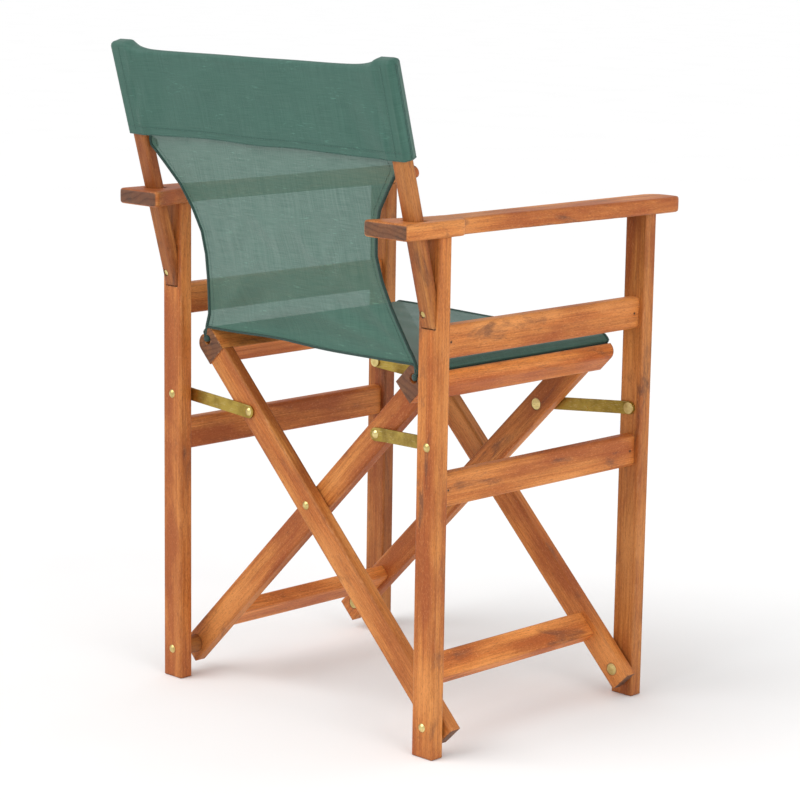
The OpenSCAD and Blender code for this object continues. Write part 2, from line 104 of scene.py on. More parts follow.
class Graph:
    """A new material and short calls for building its node tree."""

    def __init__(self, name):
        self.material = bpy.data.materials.new(name)
        self.material.use_nodes = True
        self.tree = self.material.node_tree
        self.tree.nodes.clear()

    def node(self, kind, **props):
        n = self.tree.nodes.new(kind)
        for k, v in props.items():
            setattr(n, k, v)
        return n

    def put(self, socket, value):
        if isinstance(value, bpy.types.NodeSocket):
            self.tree.links.new(value, socket)
        elif value is not None:
            socket.default_value = value

    def math(self, op, a, b=None, clamp=False):
        n = self.node("ShaderNodeMath", operation=op, use_clamp=clamp)
        for socket, value in zip(n.inputs, (a, b)):
            self.put(socket, value)
        return n.outputs[0]

    def vmath(self, op, a, b):
        n = self.node("ShaderNodeVectorMath", operation=op)
        self.put(n.inputs[0], a)
        self.put(n.inputs[1], b)
        return n.outputs["Value" if op == "DOT_PRODUCT" else "Vector"]

    def place(self):
        """Coordinates fixed to the piece, in metres."""
        return self.node("ShaderNodeTexCoord").outputs["Object"]

    def split(self, vector):
        n = self.node("ShaderNodeSeparateXYZ")
        self.put(n.inputs[0], vector)
        return n.outputs

    def combine(self, x, y, z):
        n = self.node("ShaderNodeCombineXYZ")
        for socket, value in zip(n.inputs, (x, y, z)):
            self.put(socket, value)
        return n.outputs[0]

    def noise(self, vector, scale, detail=2.0, rough=0.5, distortion=0.0):
        n = self.node("ShaderNodeTexNoise")
        self.put(n.inputs["Vector"], vector)
        n.inputs["Scale"].default_value = scale
        n.inputs["Detail"].default_value = detail
        n.inputs["Roughness"].default_value = rough
        n.inputs["Distortion"].default_value = distortion
        return n.outputs[0]

    def ramp(self, value, *stops):
        """Map a value through (place, grey) or (place, colour) stops."""
        n = self.node("ShaderNodeValToRGB")
        el = n.color_ramp.elements
        while len(el) < len(stops):
            el.new(0.5)
        for e, (place, shade) in zip(el, stops):
            e.position = place
            e.color = (*shade, 1) if hasattr(shade, "__len__") else (shade, shade, shade, 1)
        self.put(n.inputs[0], value)
        return n.outputs[0]

    def mix(self, factor, a, b, blend="MIX"):
        n = self.node("ShaderNodeMix", data_type="RGBA", blend_type=blend)
        self.put(n.inputs[0], factor)
        for socket, value in ((n.inputs[6], a), (n.inputs[7], b)):
            self.put(socket, (*value, 1) if isinstance(value, tuple) else value)
        return n.outputs[2]

    def bevel(self, radius):
        n = self.node("ShaderNodeBevel", samples=4)
        n.inputs["Radius"].default_value = radius
        return n.outputs[0]

    def bump(self, height, strength, distance, normal=None):
        n = self.node("ShaderNodeBump")
        n.inputs["Strength"].default_value = strength
        n.inputs["Distance"].default_value = distance
        self.put(n.inputs["Height"], height)
        self.put(n.inputs["Normal"], normal)
        return n.outputs[0]

    def surface(self, values):
        """End in a Principled shader with these sockets; gives back the material."""
        shader = self.node("ShaderNodeBsdfPrincipled")
        for socket, value in values.items():
            self.put(shader.inputs[socket], value)
        out = self.node("ShaderNodeOutputMaterial")
        self.tree.links.new(shader.outputs[0], out.inputs["Surface"])
        return self.material


# ---- wood ----

WOOD_LIGHT, WOOD_BASE, WOOD_DARK = (214, 138, 68), (194, 110, 46), (132, 64, 24)
END_LATE, END_EARLY, END_PORE = (66, 46, 36), (104, 72, 54), (54, 35, 27)
WORN, CHIPPED = (122, 74, 44), (226, 176, 132)
WOOD_EDGE = 3 * MM
rng = random.Random(7)


def wood_material(name, grain, tone):
    """Stained hardwood with its grain along the unit vector grain, as dark as tone tells."""
    g = Graph(name)
    along = Vector(grain).normalized()
    side = Vector((0, 1, 0)) if abs(along.y) < 0.9 else Vector((1, 0, 0))
    across = along.cross(side).normalized()
    third = along.cross(across).normalized()
    place = g.place()
    shift = [rng.uniform(-3, 3) for _ in range(3)]
    # board coordinates: a along the grain, b and c across it
    a, b, c = (g.math("ADD", g.vmath("DOT_PRODUCT", place, tuple(axis)), offset)
               for axis, offset in zip((along, across, third), shift))

    def grained(lengthwise, crosswise, detail, rough=0.5, distortion=0.0):
        """Noise with its own rate along the grain and across it."""
        at = g.combine(g.math("MULTIPLY", a, lengthwise),
                       g.math("MULTIPLY", b, crosswise), g.math("MULTIPLY", c, crosswise))
        return g.noise(at, 1.0, detail, rough, distortion)

    # growth rings round a pith that wanders slowly along the board
    wander = g.math("MULTIPLY", g.math("SUBTRACT", grained(2.2, 5.0, 2.0), 0.5), 0.085)
    pith_b = shift[1] + rng.uniform(0.02, 0.05) * rng.choice((-1, 1))
    pith_c = shift[2] + rng.uniform(0.015, 0.05) * rng.choice((-1, 1))
    rb = g.math("SUBTRACT", g.math("ADD", b, wander), pith_b)
    rc = g.math("SUBTRACT", g.math("ADD", c, wander), pith_c)
    squares = g.math("ADD", g.math("MULTIPLY", rb, rb), g.math("MULTIPLY", rc, rc))
    radius = g.math("SQRT", squares)
    jitter = grained(9.0, 60.0, 3.0)
    turns = g.math("ADD", g.math("MULTIPLY", radius, rng.uniform(120, 190)),
                   g.math("MULTIPLY", jitter, 0.9))
    late = g.ramp(g.math("FRACT", turns), (0.0, 0.3), (0.45, 0.05), (0.80, 0.6), (0.92, 1.0), (1.0, 0.3))
    fibre = grained(5.5, 420.0, 4.0, 0.6)
    streak = grained(1.7, 95.0, 3.0, 0.55)
    blotch = grained(6.0, 22.0, 3.0)
    pores = g.ramp(grained(130.0, 2200.0, 1.0), (0.62, 0.0), (0.70, 1.0))
    fine = grained(26.0, 1300.0, 2.0, 0.6)
    stain = grained(11.0, 34.0, 5.0, 0.62, 0.6)
    fleck = grained(300.0, 900.0, 2.0, 0.6)

    colour = g.mix(g.ramp(streak, (0.34, 0.0), (0.66, 1.0)), linear(WOOD_BASE), linear(WOOD_LIGHT))
    for share, rgb in (
        (g.math("MULTIPLY", late, 0.34), WOOD_DARK),
        (g.ramp(fibre, (0.44, 0.0), (0.74, 0.6)), WOOD_DARK),
        (g.ramp(fine, (0.52, 0.0), (0.80, 0.45)), (104, 54, 24)),
        (g.ramp(fine, (0.20, 0.35), (0.45, 0.0)), (224, 154, 88)),
        (g.ramp(blotch, (0.36, 0.8), (0.52, 0.0)), (150, 72, 28)),
        (g.ramp(blotch, (0.53, 0.0), (0.70, 0.6)), (226, 152, 84)),
        (g.ramp(stain, (0.58, 0.0), (0.70, 0.75)), (104, 64, 44)),
        (g.ramp(fleck, (0.57, 0.0), (0.72, 0.38)), (104, 50, 20)),
        (g.ramp(fleck, (0.32, 0.35), (0.42, 0.0)), (220, 150, 92)),
        (g.math("MULTIPLY", pores, 0.5), (74, 36, 16)),
    ):
        colour = g.mix(share, colour, linear(rgb))
    colour = g.mix(1.0, colour, (tone, tone, tone), "MULTIPLY")

    # end grain is open and takes up more stain
    normal = g.node("ShaderNodeNewGeometry").outputs["Normal"]
    spin = g.node("ShaderNodeVectorTransform", vector_type="NORMAL",
                  convert_from="WORLD", convert_to="OBJECT")
    g.put(spin.inputs[0], normal)
    facing = g.math("ABSOLUTE", g.vmath("DOT_PRODUCT", spin.outputs[0], tuple(along)))
    end = g.ramp(facing, (0.72, 0.0), (0.93, 1.0))
    open_pores = grained(500.0, 1100.0, 3.0)
    end_colour = g.mix(late, linear(END_EARLY), linear(END_LATE))
    end_colour = g.mix(g.ramp(open_pores, (0.45, 0.0), (0.62, 0.5)), end_colour, linear(END_PORE))
    end_part = g.math("MULTIPLY", end, g.ramp(stain, (0.36, 0.80), (0.6, 0.98)))
    colour = g.mix(end_part, colour, end_colour)

    # edges are softened and a little darker, with pale chips
    soft = g.bevel(WOOD_EDGE)
    turned = g.vmath("DOT_PRODUCT", soft, normal)
    wear = grained(45.0, 160.0, 3.0, 0.6)
    worn = g.math("MULTIPLY", g.ramp(turned, (0.93, 1.0), (0.9995, 0.0)),
                  g.ramp(wear, (0.38, 0.15), (0.58, 1.0)), clamp=True)
    colour = g.mix(g.math("MULTIPLY", worn, 0.7), colour, linear(WORN))
    chips = g.math("MULTIPLY", g.ramp(turned, (0.90, 1.0), (0.998, 0.0)),
                   g.ramp(wear, (0.34, 1.0), (0.42, 0.0)), clamp=True)
    colour = g.mix(g.math("MULTIPLY", chips, 0.75), colour, linear(CHIPPED))

    # relief: raised fibres and late wood, sunken pores
    height = g.math("ADD", g.math("MULTIPLY", fibre, 0.6), g.math("MULTIPLY", late, 0.25))
    height = g.math("SUBTRACT", height, g.math("MULTIPLY", pores, 0.5))
    return g.surface({
        "Base Color": colour,
        "Roughness": g.math("ADD", g.math("MULTIPLY", fibre, 0.25), 0.38),
        "Specular IOR Level": 0.3,
        "Normal": g.bump(height, 0.35, 0.25 * MM, soft),
    })


# ---- metal ----

SCRATCH = (240, 225, 180)
METAL_EDGE = 0.5 * MM


def metal_material(name, colour, stain, rough):
    """Plated metal with brushed streaks, scratches and dull spots."""
    g = Graph(name)
    place = g.place()
    cloud = g.noise(place, 55.0, 3.0, 0.6)
    fine = g.noise(place, 900.0, 2.0, 0.6)
    scratch_at = g.vmath("MULTIPLY", place, (70.0, 900.0, 1500.0))
    scratch = g.ramp(g.noise(scratch_at, 1.0, 2.0), (0.60, 0.0), (0.66, 1.0))
    tint = g.mix(g.ramp(cloud, (0.40, 0.0), (0.68, 0.75)), linear(colour), linear(stain))
    tint = g.mix(g.math("MULTIPLY", scratch, 0.25), tint, linear(SCRATCH))
    wobble = g.math("MULTIPLY", g.math("SUBTRACT", cloud, 0.5), 0.5)
    height = g.math("ADD", g.math("MULTIPLY", fine, 0.4), g.math("MULTIPLY", scratch, -0.4))
    return g.surface({
        "Base Color": tint,
        "Metallic": 1.0,
        "Roughness": g.math("ADD", wobble, rough, clamp=True),
        "Normal": g.bump(height, 0.25, 0.1 * MM, g.bevel(METAL_EDGE)),
    })


# ---- fabric ----

YARN = 1.1 * MM
GLINT = 1.7  # how much brighter than the pale yarn a painted glint (painted highlight) is


def fabric_material(name, colour, pale, cover):
    """Woven mesh on UVs in metres: yarns both ways, slubs, painted glints, light through the gaps."""
    g = Graph(name)
    uv = g.node("ShaderNodeUVMap", uv_map="cloth").outputs[0]

    def woven(rate_u, rate_v, detail, rough=0.5, distortion=0.0):
        """Noise with its own rate along each yarn."""
        return g.noise(g.vmath("MULTIPLY", uv, (rate_u, rate_v, 1.0)), 1.0, detail, rough, distortion)

    u, v = g.split(uv)[:2]
    wave_u, wave_v = (g.math("SINE", g.math("MULTIPLY", w, 2 * math.pi / YARN)) for w in (u, v))
    weave = g.math("MULTIPLY", wave_u, wave_v)
    slub = g.math("ADD", woven(30.0, 1100.0, 2.0, 0.6), woven(620.0, 13.0, 3.0, 0.65))
    slub_share = g.ramp(g.math("MULTIPLY", slub, 0.5), (0.38, 0.0), (0.62, 0.8))
    tint = g.mix(slub_share, linear(colour), linear(pale))
    tint = g.mix(g.ramp(woven(9.0, 9.0, 3.0), (0.35, 0.0), (0.70, 0.18)), tint, linear(pale))
    tint = g.mix(g.math("MULTIPLY", g.math("ADD", weave, 1.0), 0.08), tint, linear(colour))
    # painted highlight: short light flecks (glints) painted into the colour
    glint = g.math("MULTIPLY",
                   g.ramp(woven(75.0, 430.0, 2.0, 0.5, 0.4), (0.60, 0.0), (0.72, 1.0)),
                   g.ramp(woven(16.0, 24.0, 2.0), (0.50, 0.0), (0.62, 0.5)))
    tint = g.mix(glint, tint, tuple(min(1.0, GLINT * w) for w in linear(pale)))
    height = g.math("ADD", g.math("MULTIPLY", weave, 0.5), slub)
    gaps = g.math("MULTIPLY", g.math("SUBTRACT", slub, 1.0), 0.12)
    return g.surface({
        "Base Color": tint,
        "Roughness": 0.55,
        "Specular IOR Level": 0.35,
        "Sheen Weight": 0.08,
        "Sheen Roughness": 0.5,
        "Normal": g.bump(height, 0.4, 0.25 * MM),
        "Alpha": g.math("SUBTRACT", cover, gaps, clamp=True),
    })


def thread_material(name, colour, rib=1.4 * MM):
    """Bound edges and stitches: twisted thread, matte."""
    g = Graph(name)
    place = g.place()
    x, y, z = g.split(place)
    along = g.math("ADD", x, g.math("ADD", y, z))
    twist = g.math("SINE", g.math("MULTIPLY", along, 2 * math.pi / rib))
    fuzz = g.noise(place, 420.0, 3.0, 0.6)
    dark, light = (tuple(k * v for v in linear(colour)) for k in (0.72, 1.3))
    return g.surface({
        "Base Color": g.ramp(fuzz, (0.35, dark), (0.68, light)),
        "Roughness": 0.8,
        "Sheen Weight": 0.15,
        "Normal": g.bump(g.math("ADD", g.math("MULTIPLY", twist, 0.5), fuzz), 0.5, 0.3 * MM),
    })


# ---- finish every CAD node ----

foot = Vector(joints["fold"]["pos_m"])
crossing = Vector(joints["cross"]["pos_m"])
bar_axis = Vector((crossing.x - foot.x, 0, crossing.z - foot.z)).normalized()
LEAN = math.radians(15.2)  # the stiles lean back by this
stile_axis = Vector((0, math.sin(LEAN), math.cos(LEAN)))
UPRIGHT, LEVEL = (0, 0, 1), (0, 1, 0)
MIRRORED = (-bar_axis.x, 0, bar_axis.z)
# the grain of each kind of piece, by the end of its name
GRAIN = {
    "rear_post": UPRIGHT, "front_post": UPRIGHT,
    "armrest": LEVEL, "upper_rail": LEVEL, "lower_rail": LEVEL,
    "back_stile": stile_axis, "stile_peg": stile_axis,
    "seat_rail": LEVEL, "stretcher": LEVEL,
    "outer_rear_bar": bar_axis, "outer_front_bar": bar_axis,
    "inner_rear_bar": MIRRORED, "inner_front_bar": MIRRORED,
}
TONE = {"back_stile": 0.70, "seat_rail": 1.2, "stretcher": 1.28, "front_post": 0.79, "lower_rail": 1.03}
TONE_RANGE = (0.94, 1.05)
brass = metal_material("pale_brass", (226, 208, 142), (168, 138, 74), 0.32)
plated = metal_material("yellow_plating", (176, 150, 72), (128, 104, 46), 0.38)
nail_metal = metal_material("dull_steel", (96, 78, 62), (58, 44, 36), 0.55)
spacer_wood = wood_material("spacer_wood", LEVEL, 0.55)
rod_wood = wood_material("rod_wood", LEVEL, 0.6)


def finish_cad():
    for name in sorted(nodes):
        ends = [k for k in GRAIN if name.endswith(k)]
        if ends:
            tail = max(ends, key=len)
            tone = TONE.get(tail, 1.0) * rng.uniform(*TONE_RANGE)
            mat = wood_material("wood_" + name, GRAIN[tail], tone)
        elif name.endswith("_link"):
            mat = plated
        elif "rivet" in name or "screw" in name:
            mat = brass
        elif "nail" in name:
            mat = nail_metal
        elif "spacer" in name:
            mat = spacer_wood
        else:
            mat = rod_wood
        mesh = nodes[name].data
        mesh.materials.clear()
        mesh.materials.append(mat)
        for poly in mesh.polygons:
            poly.material_index = 0


finish_cad()

ARM_VOXEL = 1.9 * MM
ARM_ROUNDS = 14


def soften(name):
    """Round a CAD node's edges as shown, over its unchanged mesh: remesh finely, then smooth."""
    remesh = nodes[name].modifiers.new("remesh", "REMESH")
    remesh.mode = "VOXEL"
    remesh.voxel_size = ARM_VOXEL
    remesh.use_smooth_shade = True
    smooth = nodes[name].modifiers.new("smooth", "SMOOTH")
    smooth.factor = 0.5
    smooth.iterations = ARM_ROUNDS


for side_name in ("right", "left"):
    soften(side_name + "_armrest")

# ---- mesh helpers ----


def make_mesh(name, points, faces, uvs=None, smooth=True):
    mesh = bpy.data.meshes.new(name)
    mesh.from_pydata([tuple(p) for p in points], [], faces)
    if uvs is not None:
        layer = mesh.uv_layers.new(name="cloth")
        order = [i for f in faces for i in f]
        layer.data.foreach_set("uv", np.array([uvs[i] for i in order], np.float32).ravel())
    mesh.polygons.foreach_set("use_smooth", [smooth] * len(mesh.polygons))
    mesh.update()
    obj = bpy.data.objects.new(name, mesh)
    bpy.context.scene.collection.objects.link(obj)
    return obj


def grid_faces(rows, cols, close=False, base=0):
    """Quads over a grid of points in rows; close joins each row's last point to its first."""
    last = cols if close else cols - 1
    return [tuple(base + i for i in (r * cols + c, r * cols + (c + 1) % cols,
                                     (r + 1) * cols + (c + 1) % cols, (r + 1) * cols + c))
            for r in range(rows - 1) for c in range(last)]


def tube(name, path, radius, flat=1.0, sides=10):
    """A bound edge or thread along path: round, or flattened across its second axis."""
    path = np.asarray(path, float)
    tangent = np.gradient(path, axis=0)
    tangent /= np.linalg.norm(tangent, axis=1)[:, None] + 1e-12
    normal = np.cross(tangent[0], (0, 0, 1.0))
    if np.linalg.norm(normal) < 0.1:
        normal = np.cross(tangent[0], (0, 1.0, 0))
    points = []
    for p, t in zip(path, tangent):
        normal = normal - t * (normal @ t)
        normal /= np.linalg.norm(normal)
        other = np.cross(t, normal)
        for k in range(sides):
            a = 2 * math.pi * k / sides
            points.append(p + radius * (math.cos(a) * normal + flat * math.sin(a) * other))
    faces = grid_faces(len(path), sides, close=True)
    faces.append(tuple(range(sides))[::-1])
    faces.append(tuple(len(path) * sides - sides + k for k in range(sides)))
    return make_mesh(name, points, faces)


def run_along(path):
    """Distance from the path's start to each of its points."""
    return np.r_[0, np.cumsum(np.linalg.norm(np.diff(path, axis=0), axis=1))]


def resample(path, n):
    path = np.asarray(path, float)
    length = run_along(path)
    at = np.linspace(0, length[-1], n)
    return np.stack([np.interp(at, length, path[:, k]) for k in range(3)], axis=1)


def smooth_noise(seed, cells):
    """A smooth random field on [0, 1] x [0, 1], by cosine waves."""
    r = np.random.RandomState(seed)
    waves = [(r.uniform(-cells, cells), r.uniform(-cells, cells), r.uniform(0, 6.28), r.uniform(0.4, 1))
             for _ in range(14)]

    def field(s, t):
        total = sum(k * np.cos(2 * math.pi * (a * s + b * t) / 2 + p) for a, b, p, k in waves)
        return float(total / 6.0)
    return field


# ---- the sling's frame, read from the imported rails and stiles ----


def node_points(name):
    mesh = nodes[name].data
    co = np.empty(len(mesh.vertices) * 3)
    mesh.vertices.foreach_get("co", co)
    return co.reshape(-1, 3)


rail_u_axis = np.array(bar_axis)                      # along the outer frame's bars, to the left rail
rail_v_axis = np.array((-bar_axis.z, 0, bar_axis.x))  # across them, upper side up
rail = node_points("left_seat_rail") - np.array(foot)
RAIL_U = (rail @ rail_u_axis).max()
RAIL_V = (rail @ rail_v_axis).max()
RAIL_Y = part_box("left_seat_rail")[1][1]
RAIL_ROUND = 7 * MM               # radius of the rail's upper outer edge
KEY_U, KEY_V = 11 * MM, 0.5 * MM  # keyhole: depth from the outer face, place across
CLOTH = 1.2 * MM                  # thickness

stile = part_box("left_back_stile")
STILE_X = (stile[0][0] + stile[1][0]) / 2
STILE_W = stile[1][0] - stile[0][0]
STILE_D = 16 * MM
STILE_IN, STILE_OUT = STILE_X - STILE_W / 2, STILE_X + STILE_W / 2
stile_points = node_points("left_back_stile")
up_axis = np.array(stile_axis)
back_axis = np.array((0, math.cos(LEAN), -math.sin(LEAN)))
STILE_TOP = (stile_points @ up_axis).max()
STILE_MID = ((stile_points @ back_axis).max() + (stile_points @ back_axis).min()) / 2


def stile_place(x, t, depth):
    """A point by its x, its distance t below the stiles' top, and its depth behind their middle."""
    return np.array((x, 0, 0)) + up_axis * (STILE_TOP - t) + back_axis * (STILE_MID + depth)


def rail_place(side, u, v):
    """A point (x, z) of a seat rail's section; side is 1 for the left rail and -1 for the right."""
    p = np.array(foot) + rail_u_axis * u + rail_v_axis * v
    return side * p[0], p[2]


# ---- seat sheet: over both rails, down into their slots ----

SEAT_ROWS, SEAT_SPAN = 84, 70
SEAT_SAG, SEAT_FOLD, SEAT_WAVE, SEAT_INSET = 4.5 * MM, 1.7 * MM, 1.3 * MM, 3 * MM


def seat_section(side):
    """Points (x, z) of the cloth from the seat's side of a rail to inside its slot."""
    centre_u, centre_v = RAIL_U - RAIL_ROUND, RAIL_V - RAIL_ROUND
    r = RAIL_ROUND + CLOTH / 2 + 0.2 * MM
    x, z = rail_place(side, centre_u, centre_v)
    tilt = math.atan2(bar_axis.z, bar_axis.x)
    turn = [math.pi / 2 - tilt * k / 12 for k in range(13)]
    section = [(x + side * math.cos(a) * r, z + math.sin(a) * r) for a in turn]
    face_u = RAIL_U + r - RAIL_ROUND
    lip_v = KEY_V + 4.2 * MM
    section += [rail_place(side, face_u, v) for v in np.linspace(centre_v, lip_v, 5)[1:]]
    for k in range(1, 5):
        a = math.pi / 2 * k / 4
        section.append(rail_place(side, face_u - 1.6 * MM * (1 - math.cos(a)),
                                  lip_v - 3.0 * MM * math.sin(a)))
    section.append(rail_place(side, RAIL_U - KEY_U + 4.0 * MM, KEY_V + 1.0 * MM))
    return section


def build_seat():
    right, left = seat_section(-1), seat_section(1)
    (x0, z0), (x1, z1) = right[0], left[0]
    middle = [(x0 + (x1 - x0) * k / SEAT_SPAN, z0 + (z1 - z0) * k / SEAT_SPAN)
              for k in range(1, SEAT_SPAN)]
    section = np.array(right[::-1] + middle + left)
    lengths = run_along(section)
    half = RAIL_Y - 1.2 * MM
    ripple = smooth_noise(5, 5)
    points, uvs = [], []
    for j, y in enumerate(np.linspace(-half, half, SEAT_ROWS)):
        t = j / (SEAT_ROWS - 1)
        near_end = abs(2 * t - 1)
        for (x, z), s in zip(section, lengths):
            # free of the rails: 1 in the middle, 0 on them
            free = max(0.0, 1 - (x / x1) ** 2)
            sag = -free * (0.8 * MM + SEAT_SAG * math.sin(math.pi * t))
            # shallow pulls that run between the rails, strongest near the ends
            fold = SEAT_FOLD * free * math.sin(38 * t + 2.2 * x / x1 + 3 * ripple(s, t))
            fold *= 0.25 + 0.75 * near_end ** 2
            wave = SEAT_WAVE * free * ripple(s / lengths[-1], t)
            inset = SEAT_INSET * free * (1 if t > 0.5 else -1) * near_end ** 8
            points.append((x, y - inset, z + sag + fold + wave))
            uvs.append((s, y))
    sheet = make_mesh("seat_sheet", points, grid_faces(SEAT_ROWS, len(section)), uvs)
    grid = np.array(points).reshape(SEAT_ROWS, len(section), 3)
    return sheet, grid, lengths[-1], 2 * half


seat, seat_grid, seat_w, seat_l = build_seat()

# ---- back panel: hangs from the hood to the seat's rear edge, drawn in at the waist ----

# the side hems' height and distance from the middle, read off the photo
HEM = ((0.718, 0.2135), (0.712, 0.2155), (0.706, 0.2155), (0.698, 0.208), (0.684, 0.196),
       (0.658, 0.175), (0.630, 0.162), (0.600, 0.154), (0.570, 0.1555), (0.540, 0.162),
       (0.520, 0.168), (0.490, 0.178), (0.474, 0.187))
PANEL_ROWS, PANEL_COLS = 110, 84
PANEL_LOW = np.array((0, 0.1755, 0.4735))
PANEL_TOP = 0.730
PANEL_BELLY, PANEL_WAIST, PANEL_WAVE = 4.0 * MM, 1.5 * MM, 1.0 * MM
WAIST_Z, CORNER_X = 0.60, 0.187
# folds that fan out of the lower corners: side, angle from the level, reach, depth in mm
PULLS = ((1, 4, 0.28, -4.5), (1, 13, 0.24, 4.2), (1, 24, 0.20, -3.6), (1, 38, 0.16, 3.0),
         (1, 56, 0.13, -2.2), (-1, 6, 0.20, -3.4), (-1, 17, 0.19, 3.6), (-1, 30, 0.17, -3.2),
         (-1, 46, 0.16, 2.6), (-1, 62, 0.14, -2.0))
panel_high = stile_place(0, 118 * MM, 0)


def corner_folds(x, z):
    """Depth of the folds that run from the two lower corners."""
    depth = 0.0
    for side, angle, reach, amount in PULLS:
        dx, dz = side * (CORNER_X * side - x), z - PANEL_LOW[2]
        c, d = math.cos(math.radians(angle)), math.sin(math.radians(angle))
        along, off = dx * c + dz * d, dz * c - dx * d
        if along <= 0:
            continue
        off += 5 * MM * math.sin(along / 0.05 + angle)
        wide = 5 * MM + 0.06 * along
        grow = math.exp(-((along - reach * 0.45) / (reach * 0.5)) ** 2)
        depth += amount * MM * math.exp(-(off / wide) ** 2) * grow
    return depth


def build_panel():
    hem_z, hem_x = np.array(HEM)[::-1].T
    crease = smooth_noise(11, 4)
    edge = seat_grid[-1]
    points, uvs = [], []
    length = np.linalg.norm(panel_high - PANEL_LOW)
    for j in range(PANEL_ROWS):
        t = j / (PANEL_ROWS - 1)
        z = PANEL_LOW[2] + (PANEL_TOP - PANEL_LOW[2]) * t
        k = (z - PANEL_LOW[2]) / (panel_high[2] - PANEL_LOW[2])
        base = PANEL_LOW + (panel_high - PANEL_LOW) * k
        half = np.interp(z, hem_z, hem_x)
        # how far this row is sewn down to the seat's rear edge, in depth and in height
        sewn, drawn = (1 - t) ** 12, (1 - t) ** 8
        at_waist = math.exp(-((z - WAIST_Z) / 0.06) ** 2)
        for i in range(PANEL_COLS):
            s = 2 * i / (PANEL_COLS - 1) - 1
            x = s * half
            # the cloth bows back a little where nothing holds it
            y = PANEL_BELLY * (1 - s * s) * math.sin(math.pi * min(max(k, 0), 1)) ** 0.8
            y += corner_folds(x, z) * (1 - abs(s) ** 8)
            y += PANEL_WAIST * math.sin(104 * z + 5 * crease(s + 3, t)) * at_waist * (1 - s * s)
            y += PANEL_WAVE * crease(s * 1.3, t * 1.7) * (1 - abs(s) ** 4)
            edge_y, edge_z = (np.interp(x, edge[:, 0], edge[:, axis]) for axis in (1, 2))
            points.append((x, (base[1] + y) * (1 - sewn) + edge_y * sewn,
                           z + (edge_z - PANEL_LOW[2]) * drawn))
            uvs.append((x, t * length))
    sheet = make_mesh("back_sheet", points, grid_faces(PANEL_ROWS, PANEL_COLS), uvs)
    return sheet, np.array(points).reshape(PANEL_ROWS, PANEL_COLS, 3), length


panel, panel_grid, panel_l = build_panel()

# ---- hood: a sleeve over the stiles' tops, in a middle part and two ends ----

HOOD_COLS = 150    # across the chair
HOOD_AROUND = 74   # from the rear hem up, over the top and down to the front hem
HOOD_H = 116 * MM
HOOD_HALF = 244.5 * MM
HOOD_SAG = 10 * MM
HOOD_TOP = 2.4 * MM    # cloth above the stiles' tops
HOOD_DROP = 5.0 * MM   # from there to the top corners
HOOD_FULL = STILE_D / 2 + 1.6 * MM
HOOD_THIN = 4.6 * MM   # how much thinner each layer's side is between the stiles
HOOD_SEAM = 0.7 * MM
TOP_ROUND = 5.0 * MM
HOOD_CUT_X = 0.209


def hood_column(x):
    """Half thickness, height of the top over the stiles' tops, and the top's radius at x."""
    ax = abs(x)
    if ax > STILE_OUT:
        q = (ax - STILE_OUT) / (HOOD_HALF - STILE_OUT)
        thick = HOOD_FULL * math.sqrt(max(0.0, 1 - q ** 2.4)) + HOOD_SEAM
        return thick, HOOD_TOP - HOOD_DROP * q ** 2, min(thick, TOP_ROUND)
    if ax >= STILE_IN:
        return HOOD_FULL, HOOD_TOP, min(HOOD_FULL, TOP_ROUND)
    q = min(1.0, (STILE_IN - ax) / (60 * MM))
    thick = HOOD_FULL - HOOD_THIN * (q * q * (3 - 2 * q))
    sunk = 1 - (ax / STILE_IN) ** 14
    roll = min(thick, TOP_ROUND + (thick - TOP_ROUND) * (1 - (1 - sunk) ** 2))
    return thick, HOOD_TOP - HOOD_SAG * sunk, roll


def hood_point(d, run, curve, thick, roll):
    """Distance below the stiles' tops and depth at the distance d round the sleeve."""
    flat = 2 * (thick - roll)
    top = HOOD_H - run - roll
    if d < run:
        return HOOD_H - d, thick
    if d < run + curve:
        turn = (d - run) / roll
        return HOOD_H - run - roll * math.sin(turn), thick - roll * (1 - math.cos(turn))
    if d < run + curve + flat:
        return top, thick - roll - (d - run - curve)
    if d < run + 2 * curve + flat:
        turn = (d - run - curve - flat) / roll
        return HOOD_H - run - roll * math.cos(turn), roll - thick - roll * math.sin(turn)
    return HOOD_H - run + (d - run - 2 * curve - flat), -thick


def build_hood():
    ripple = smooth_noise(23, 5)
    points, uvs = [], []
    for i in range(HOOD_COLS):
        x = HOOD_HALF * (2 * i / (HOOD_COLS - 1) - 1)
        thick, top, roll = hood_column(x)
        run, curve = HOOD_H + top - roll, math.pi * roll / 2
        around = 2 * run + 2 * curve + 2 * (thick - roll)
        for k in range(HOOD_AROUND):
            d = k / (HOOD_AROUND - 1) * around
            t, depth = hood_point(d, run, curve, thick, roll)
            low = max(0.0, min(1.0, t / HOOD_H))
            # between the stiles: diagonal pulls from their tops, and ripples
            if abs(x) < STILE_IN:
                edge = (STILE_IN - abs(x)) / STILE_IN
                pull = 1.6 * MM * math.sin(20 * edge + 9 * low) * math.exp(-6 * edge) * (0.3 + low)
                layer = 1 if depth > 0 else 3
                pull += 2.2 * MM * ripple(x / HOOD_HALF, low + layer) * (1 - (x / STILE_IN) ** 2)
                depth += pull * (1 if depth > 0 else -0.5)
            hem_wave = 0.6 * MM * math.sin(9 * x / HOOD_HALF + 1) * low ** 6
            points.append(stile_place(x, t + hem_wave, depth))
            uvs.append((x, d))
    shape = (HOOD_COLS, HOOD_AROUND)
    return np.array(points).reshape(*shape, 3), np.array(uvs).reshape(*shape, 2)


hood_grid, hood_uv = build_hood()
# the ends sit on the stiles and stay with them; the middle is cut off as a piece of its own
CUT = int(np.argmax(hood_grid[:, 0, 0] > -HOOD_CUT_X))
LAST = HOOD_COLS - 1


def hood_part(name, first, last):
    """The columns first to last of the hood as a piece of their own."""
    part, uv = hood_grid[first:last + 1], hood_uv[first:last + 1]
    faces = grid_faces(len(part), HOOD_AROUND)
    return make_mesh(name, part.reshape(-1, 3), faces, uv.reshape(-1, 2))


